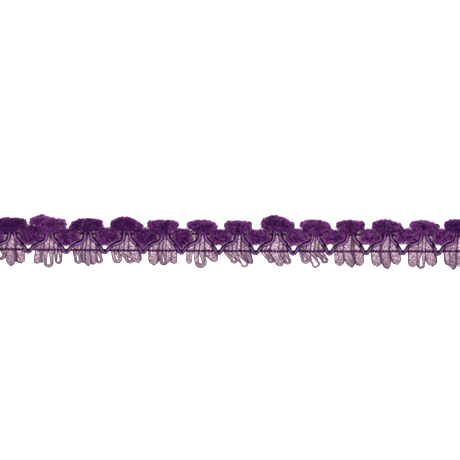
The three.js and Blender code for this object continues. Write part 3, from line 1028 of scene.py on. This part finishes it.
def scattered(points, faces, normals, count, rng):
    """Random places on a tuft's surface, fewer of them underneath, the direction out of it at each, and its
    area"""
    corners = points[faces]
    sides = np.cross(corners[:, 1] - corners[:, 0], corners[:, 2] - corners[:, 0])
    area = np.linalg.norm(sides, axis=1)
    weight = area * np.where(corners.mean(axis=1)[:, 2] < UNDERSIDE, UNDERSIDE_SHARE, 1.0)
    picked = rng.choice(len(faces), count, p=weight / weight.sum())
    mix = rng.dirichlet((1, 1, 1), count)[..., None]
    places = (corners[picked] * mix).sum(axis=1)
    return places, unit((normals[faces[picked]] * mix).sum(axis=1)), area.sum()


def grow_fibres(places, normals, area, rng):
    """A fibre at each place, drawn towards its clump, as its root, its direction, its tip and its tone"""
    count = len(places)
    wander = make_wander(rng, WANDER_WIDTH)
    lean = unit(normals + LEAN_DRIFT * wander(places) + LEAN_SCATTER * rng.normal(size=(count, 3)))
    drift = LENGTH_DRIFT * wander(places + 7)[:, :1]
    length = PILE_DEPTH * (1 + drift + LENGTH_SCATTER * rng.normal(size=(count, 1)))
    base = places - normals * PILE_DEPTH
    leaders = rng.choice(count, int(area / CLUMP_AREA), replace=False)
    clump = ((places[:, None] - places[leaders][None]) ** 2).sum(axis=2).argmin(axis=1)
    reach = rng.uniform(*CLUMP_REACH, len(leaders))[:, None]
    clump_tip = base[leaders] + lean[leaders] * PILE_DEPTH * reach
    tip = lerp(base + lean * length, clump_tip[clump], CLUMP_PULL)
    clump_tone = rng.uniform(-CLUMP_TONE, CLUMP_TONE, len(leaders))[clump]
    return base - lean * PILE_ROOT, lean, tip, clump_tone + TONE_DRIFT * wander(places * 0.5)[:, 0]


def painted_side_light(places, normals, lower):
    """Painted sheen that makes the pile lighter on its flanks, and painted shade that makes it darker on the
    upper tufts' downward flanks and on the lower tufts next to the upper ones
    """
    rim = RIM_PAINTED_SHEEN * (1 - np.clip(normals[:, 2], 0, 1)) ** 2 * smoothstep(normals[:, 1], *RIM_SHEEN_FACING)
    if lower:
        return rim - LOWER_PAINTED_SHADE * smoothstep(places[:, 1], *LOWER_SHADE_EDGES)
    return rim - UPPER_PAINTED_SHADE * smoothstep(-normals[:, 1], *UPPER_SHADE_FACING)


def spikes(root, lean, tip, rng):
    """A slim spike with three sides from each root to its tip, as the points and faces of one mesh"""
    count = len(root)
    first = unit(np.cross(lean, rng.normal(size=(count, 3))))
    second = np.cross(lean, first)
    points = np.empty((count, 4, 3))
    for k in range(3):
        turn = 2 * np.pi * k / 3
        points[:, k] = root + PILE_WIDTH / 2 * (math.cos(turn) * first + math.sin(turn) * second)
    points[:, 3] = tip
    points[..., 2] = np.maximum(points[..., 2], PILE_GAP)
    corners = np.array([[0, 1, 3], [1, 2, 3], [2, 0, 3], [0, 2, 1]])
    return points.reshape(-1, 3), (4 * np.arange(count)[:, None, None] + corners).reshape(-1, 3)


def make_tuft(name, grid, shade, fibres, lower, cord, material, seed):
    """A tuft of pile: a core painted dark as the shade deep in the pile, with that many fibres around it"""
    rng = np.random.default_rng(seed)
    shell, faces, normals = tuft_shell(grid, rng)
    core = clear_of_cord(shell - PILE_DEPTH * normals, cord, lower)
    places, normals, area = scattered(shell, faces, normals, fibres, rng)
    root, lean, tip, tone = grow_fibres(places, normals, area, rng)
    tone = tone + painted_side_light(places, normals, lower) + TONE + shade
    keep = np.abs(tip[:, 0]) < END + PILE_PAST_END
    if lower:
        keep &= tip[:, 1] > cord_edge(tip[:, 0])
    root = clear_of_cord(root, cord, lower)[keep]
    tip = clear_of_cord(tip, cord, lower)[keep]
    spike_points, spike_faces = spikes(root, lean[keep], tip, rng)
    tone = tone[keep] + rng.uniform(-FIBRE_TONE, FIBRE_TONE, len(root))
    height = np.clip(np.tile([0, 0, 0, TIP_TONE], len(root)) + tone.repeat(4), 0, 1)
    points, faces, height = joined(
        [(core, faces, np.full(len(core), CORE_PAINTED_SHADE)), (spike_points, spike_faces, height)]
    )
    new_piece(name, points, faces, material, "chenille_yarn", {"height": height})


def make_chenille(cord, material):
    for k, row in enumerate(UPPER_TUFTS):
        name = f"chenille_upper_{k + 1:02d}"
        make_tuft(name, upper_tuft(row), row["shade"], UPPER_FIBRES, False, cord, material, 100 + k)
    for k, row in enumerate(LOWER_TUFTS):
        name = f"chenille_lower_{k + 1:02d}"
        make_tuft(name, lower_tuft(row), row["shade"], LOWER_FIBRES, True, cord, material, 200 + k)


# Stage

def make_floor():
    mesh = bpy.data.meshes.new("floor")
    corners = [(x * FLOOR_REACH, y * FLOOR_REACH, 0) for x, y in ((-1, -1), (1, -1), (1, 1), (-1, 1))]
    mesh.from_pydata(corners, [], [(0, 1, 2, 3)])
    floor = bpy.data.objects.new("floor", mesh)
    material, shader = new_material("pale_floor", 0.9)
    shader.inputs["Base Color"].default_value = (0.9, 0.9, 0.9, 1)
    shader.inputs["Emission Color"].default_value = (1, 1, 1, 1)
    shader.inputs["Emission Strength"].default_value = 0.3
    mesh.materials.append(material)
    bpy.context.scene.collection.objects.link(floor)


def add_light(name, place, size, power):
    data = bpy.data.lights.new(name, "AREA")
    data.energy = power
    data.size = size
    light = bpy.data.objects.new(name, data)
    light.location = place
    bpy.context.scene.collection.objects.link(light)
    aim = bpy.data.objects.new(name + "_aim", None)
    bpy.context.scene.collection.objects.link(aim)
    track = light.constraints.new("TRACK_TO")
    track.target = aim
    track.track_axis = "TRACK_NEGATIVE_Z"
    track.up_axis = "UP_Y"


def light_studio():
    world = bpy.data.worlds.new("studio")
    bpy.context.scene.world = world
    world.use_nodes = True
    sky = world.node_tree.nodes["Background"]
    sky.inputs["Color"].default_value = (1, 1, 1, 1)
    sky.inputs["Strength"].default_value = 0.9
    add_light("key", (-0.15, -0.5, 1.0), size=0.4, power=11)
    add_light("top", (0.2, 0.15, 1.3), size=0.6, power=18)
    bpy.context.scene.view_settings.view_transform = "Standard"


set_camera()
cord = make_cord(satin_material())
threads = thread_material("stitch_thread", srgb(8, 0, 11), srgb(66, 4, 74))
make_stitches("lower_chain_stitch", "lower_stitch_thread", lower_line, threads)
make_stitches("upper_chain_stitch", "upper_stitch_thread", upper_line, threads)
# The tie thread is a darker copy of the stitching thread, as painted shade in the crook of each bend.
make_ties(thread_material("tie_thread", srgb(4, 0, 6), srgb(34, 4, 38)))
tape = tape_material()
make_tape(tape)
make_passing_tape(tape)
make_chenille(cord, pile_material())
make_floor()
light_studio()
